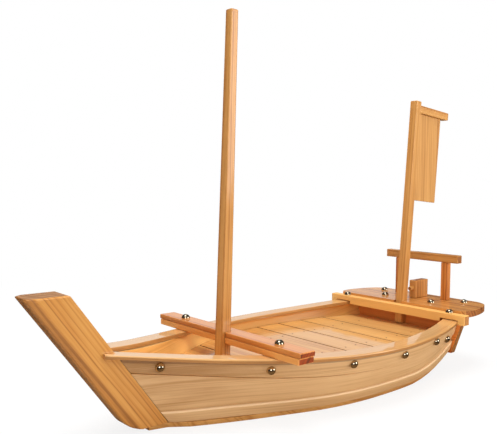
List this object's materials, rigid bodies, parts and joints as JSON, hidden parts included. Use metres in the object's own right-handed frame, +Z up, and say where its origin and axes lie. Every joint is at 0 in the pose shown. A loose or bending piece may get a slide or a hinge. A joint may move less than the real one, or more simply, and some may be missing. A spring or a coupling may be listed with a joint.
{
  "type": "sushi serving boat",
  "caption": "Planked wooden serving boat with a slatted deck for food, raked stem, thwart, stern platform with rail, and a lift-out mast and sail pole.",
  "frame": {"origin": "on the table under the bottom board, on the centre line at the midships reference of the hull", "axes": "+X to the bow, +Y to port, +Z up"},
  "size_m": [0.7315, 0.2774, 0.485],
  "materials": {
    "stem_wood": "clear gloss lacquer",
    "hull_wood": "clear gloss lacquer",
    "deck_wood": "clear gloss lacquer",
    "bar_wood": "clear gloss lacquer",
    "hidden_wood": "plain sawn",
    "nickel": "polished nickel"
  },
  "bodies": {
    "hull": {"beam_nail_port": "nickel", "beam_nail_stbd": "nickel", "bearer_port": "hidden_wood", "bearer_stbd": "hidden_wood", "bottom_board": "hull_wood", "bow_frame_1": "hidden_wood", "cap_rail_port": "bar_wood", "cap_rail_stbd": "bar_wood", "deck_plank_1": "deck_wood", "deck_plank_2": "deck_wood", "deck_plank_3": "deck_wood", "deck_plank_4": "deck_wood", "deck_plank_5": "deck_wood", "deck_plank_6": "deck_wood", "deck_plank_7": "deck_wood", "deck_plank_8": "deck_wood", "deck_plank_9": "deck_wood", "garboard_port": "hull_wood", "garboard_stbd": "hull_wood", "mast_step": "hidden_wood", "mid_strake_port": "hull_wood", "mid_strake_stbd": "hull_wood", "poop_cleat": "hidden_wood", "poop_nail_aft_port": "nickel", "poop_nail_aft_stbd": "nickel", "poop_nail_fore_port": "nickel", "poop_nail_fore_stbd": "nickel", "poop_plank_aft": "deck_wood", "poop_plank_fore": "deck_wood", "rudder_head": "bar_wood", "sheer_strake_port": "hull_wood", "sheer_strake_stbd": "hull_wood", "stem": "stem_wood", "stern_beam": "bar_wood", "stern_post_port": "bar_wood", "stern_post_stbd": "bar_wood", "stern_rail_bar": "bar_wood", "strake_nail_port_1": "nickel", "strake_nail_port_2": "nickel", "strake_nail_port_3": "nickel", "strake_nail_port_4": "nickel", "strake_nail_port_5": "nickel", "strake_nail_port_6": "nickel", "strake_nail_stbd_1": "nickel", "strake_nail_stbd_2": "nickel", "strake_nail_stbd_3": "nickel", "strake_nail_stbd_4": "nickel", "strake_nail_stbd_5": "nickel", "strake_nail_stbd_6": "nickel", "thwart_bar": "bar_wood", "thwart_cap": "bar_wood", "thwart_nail_port": "nickel", "thwart_nail_stbd": "nickel", "tiller_peg": "bar_wood", "transom": "hull_wood"},
    "mast": {"main_mast": "bar_wood"},
    "sail": {"sail_pole": "bar_wood", "sail_arm": "bar_wood", "sail_panel": "deck_wood"}
  },
  "joints": [
    {"name": "mast_lift", "type": "slide", "parent": "hull", "child": "mast", "axis": [-0.025, 0, 0.9997], "range_m": [0, 0.09]},
    {"name": "sail_lift", "type": "slide", "parent": "hull", "child": "sail", "axis": [-0.0847, 0, 0.9964], "range_m": [0, 0.045]}
  ]
}
